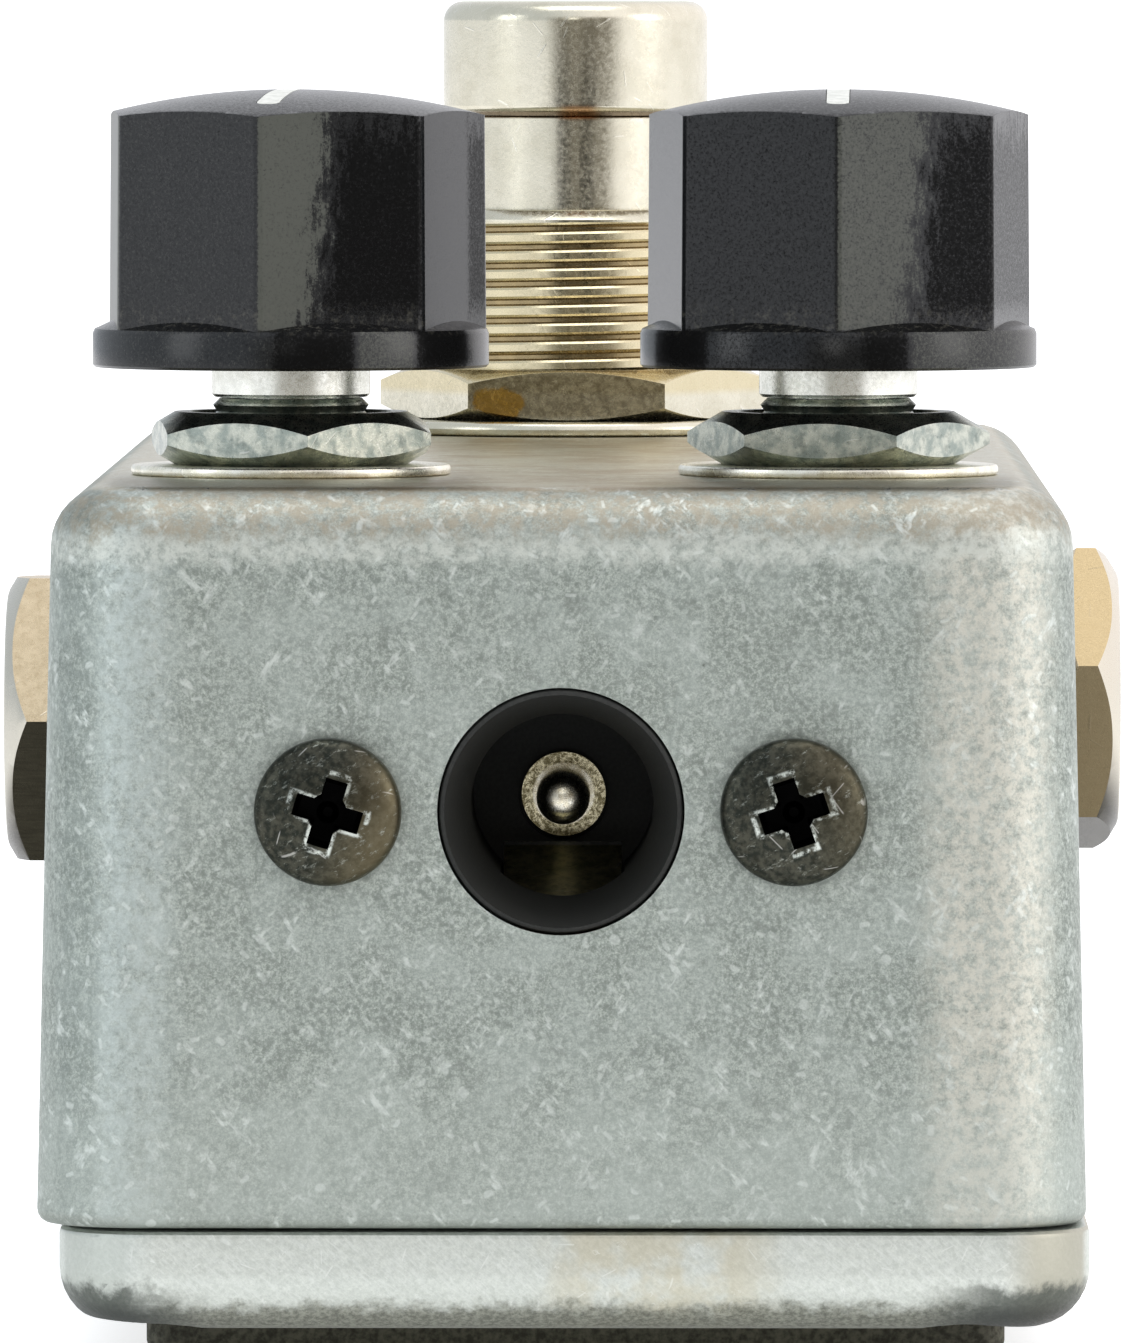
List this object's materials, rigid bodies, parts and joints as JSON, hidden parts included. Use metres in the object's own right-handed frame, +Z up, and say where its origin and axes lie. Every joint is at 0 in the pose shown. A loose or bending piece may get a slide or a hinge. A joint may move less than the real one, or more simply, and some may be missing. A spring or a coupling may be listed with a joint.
{
  "type": "guitar effects pedal",
  "caption": "Small die-cast guitar effects pedal with skirted polygonal knobs, a footswitch, side jack sockets and an end power socket.",
  "frame": {"origin": "on the underside of the rubber pad, below the middle of the case", "axes": "+Z up, +Y along the case from the power socket end to the footswitch end, +X to the right as seen from the power socket end"},
  "size_m": [0.0438, 0.0938, 0.0503],
  "materials": {
    "cast_aluminium": "tumbled die-cast aluminium, fine mottling and nicks",
    "lid_aluminium": "die-cast aluminium, lighter, finely scratched",
    "pad_rubber": "matt black sheet rubber",
    "knob_plastic": "glossy charcoal black plastic",
    "pointer_white": "white paint in a groove",
    "bare_aluminium": "satin turned aluminium",
    "zinc_steel": "mottled zinc plate",
    "pale_brass": "pale plated brass",
    "satin_nickel": "satin nickel plate with a warm tint",
    "warm_nickel": "warm nickel plate",
    "black_plastic": "matt black moulded plastic",
    "black_oxide": "worn black oxide, brownish",
    "switch_blue": "blue moulded plastic",
    "board_green": "green solder resist",
    "phenolic_brown": "brown phenolic sheet",
    "tinned_metal": "tinned metal",
    "chip_black": "black epoxy",
    "capacitor_blue": "dark blue sleeve",
    "capacitor_red": "dipped red resin",
    "wire_yellow": "yellow insulation",
    "wire_green": "green insulation",
    "wire_white": "white insulation",
    "wire_blue": "blue insulation",
    "wire_red": "red insulation",
    "wire_black": "black insulation"
  },
  "bodies": {
    "case": {"enclosure_body": "cast_aluminium", "base_plate": "lid_aluminium", "rubber_pad": "pad_rubber", "lid_screw_1": "black_oxide", "lid_screw_2": "black_oxide", "lid_screw_3": "black_oxide", "lid_screw_4": "black_oxide", "footswitch_bushing": "satin_nickel", "footswitch_housing": "switch_blue", "footswitch_terminals": "tinned_metal", "footswitch_washer": "satin_nickel", "footswitch_nut": "satin_nickel", "footswitch_inner_nut": "satin_nickel", "footswitch_spring": "tinned_metal", "dc_jack_body": "black_plastic", "dc_jack_pin": "satin_nickel", "dc_jack_leaf": "warm_nickel", "dc_screw_left": "black_oxide", "dc_screw_right": "black_oxide", "dc_nut_left": "zinc_steel", "dc_nut_right": "zinc_steel", "circuit_board": "board_green", "amplifier_chip": "chip_black", "left_electrolytic_capacitor": "capacitor_blue", "right_electrolytic_capacitor": "capacitor_blue", "film_capacitor": "capacitor_red", "effect_send_wire": "wire_yellow", "effect_return_wire": "wire_green", "output_wire": "wire_white", "input_wire": "wire_blue", "dc_power_wire": "wire_red", "dc_ground_wire": "wire_black", "left_pot_body": "zinc_steel", "left_pot_base": "phenolic_brown", "left_pot_washer": "pale_brass", "left_pot_nut": "zinc_steel", "left_jack_ferrule": "warm_nickel", "left_jack_washer": "warm_nickel", "left_jack_nut": "warm_nickel", "left_jack_housing": "black_plastic", "left_jack_tip_spring": "tinned_metal", "right_pot_body": "zinc_steel", "right_pot_base": "phenolic_brown", "right_pot_washer": "pale_brass", "right_pot_nut": "zinc_steel", "right_jack_ferrule": "warm_nickel", "right_jack_washer": "warm_nickel", "right_jack_nut": "warm_nickel", "right_jack_housing": "black_plastic", "right_jack_tip_spring": "tinned_metal"},
    "left_knob": {"left_knob": "knob_plastic", "left_knob_pointer": "pointer_white", "left_knob_set_screw": "black_oxide", "left_pot_shaft": "bare_aluminium"},
    "right_knob": {"right_knob": "knob_plastic", "right_knob_pointer": "pointer_white", "right_knob_set_screw": "black_oxide", "right_pot_shaft": "bare_aluminium"},
    "footswitch_plunger": {"footswitch_plunger": "satin_nickel"}
  },
  "joints": [
    {"name": "left_knob_turn", "type": "hinge", "parent": "case", "child": "left_knob", "pos_m": [-0.01036, -0.0285, 0.03245], "axis": [0, 0, 1], "range_deg": [-150, 150]},
    {"name": "right_knob_turn", "type": "hinge", "parent": "case", "child": "right_knob", "pos_m": [0.01036, -0.0285, 0.03245], "axis": [0, 0, 1], "range_deg": [-150, 150]},
    {"name": "footswitch_press", "type": "slide", "parent": "case", "child": "footswitch_plunger", "axis": [0, 0, -1], "range_m": [0, 0.0025], "stiffness_N_per_m": 2400, "springref_m": -0.0015, "deforming": ["footswitch_spring"]}
  ]
}
